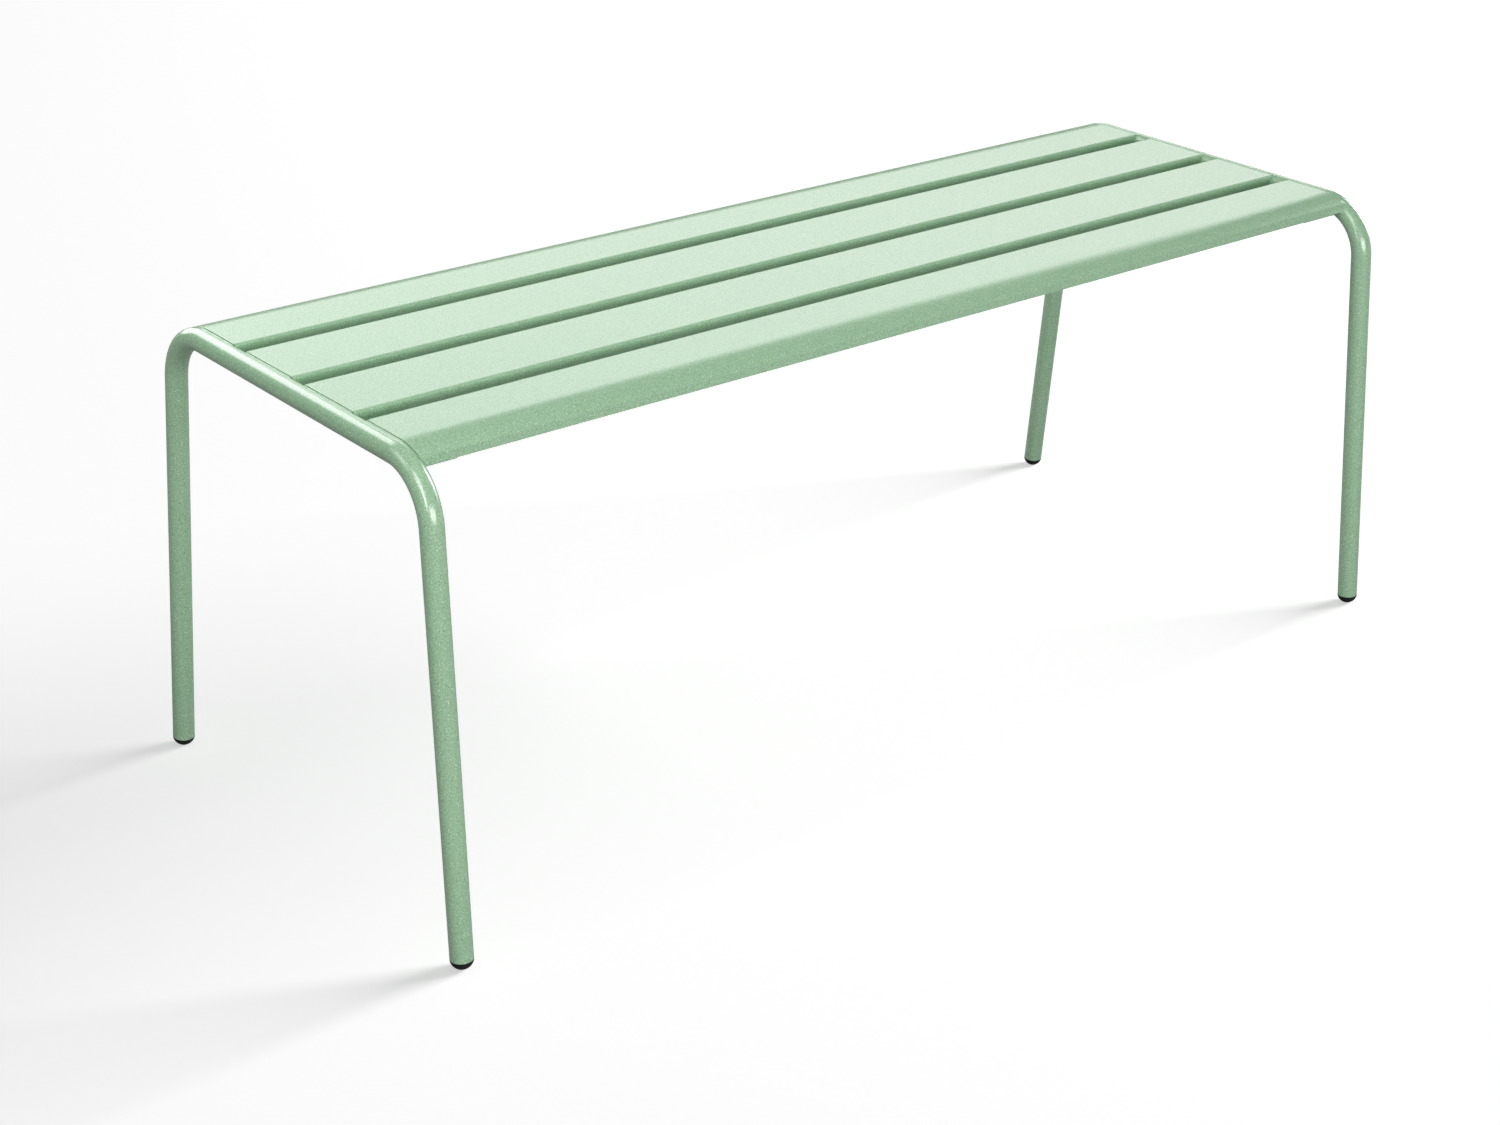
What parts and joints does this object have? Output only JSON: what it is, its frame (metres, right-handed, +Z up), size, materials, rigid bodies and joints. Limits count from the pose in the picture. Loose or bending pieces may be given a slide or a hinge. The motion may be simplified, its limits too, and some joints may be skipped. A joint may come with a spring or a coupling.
{
  "type": "backless bench",
  "caption": "Backless bench: folded sheet-metal slats run lengthwise between bent tube end frames with splayed legs and domed foot caps, screwed together underneath.",
  "frame": {"origin": "on the floor below the middle of the seat", "axes": "+X along the bench to its right end, +Y to the rear, +Z up"},
  "size_m": [1.1982, 0.5124, 0.454],
  "materials": {
    "paint": "satin powder coat, fine texture, pale grey-green",
    "foot_cap": "moulded, matt black",
    "hardware": "zinc plated"
  },
  "bodies": {
    "root": {"left_leg_frame": "paint", "right_leg_frame": "paint", "front_slat": "paint", "front_inner_slat": "paint", "rear_inner_slat": "paint", "rear_slat": "paint", "left_end_bar": "paint", "centre_bar": "paint", "right_end_bar": "paint", "left_front_bracket": "paint", "left_rear_bracket": "paint", "right_front_bracket": "paint", "right_rear_bracket": "paint", "left_front_foot_cap": "foot_cap", "left_rear_foot_cap": "foot_cap", "right_front_foot_cap": "foot_cap", "right_rear_foot_cap": "foot_cap", "left_screws": "hardware", "right_screws": "hardware", "left_washers": "hardware", "right_washers": "hardware", "left_nuts": "hardware", "right_nuts": "hardware"}
  },
  "joints": []
}
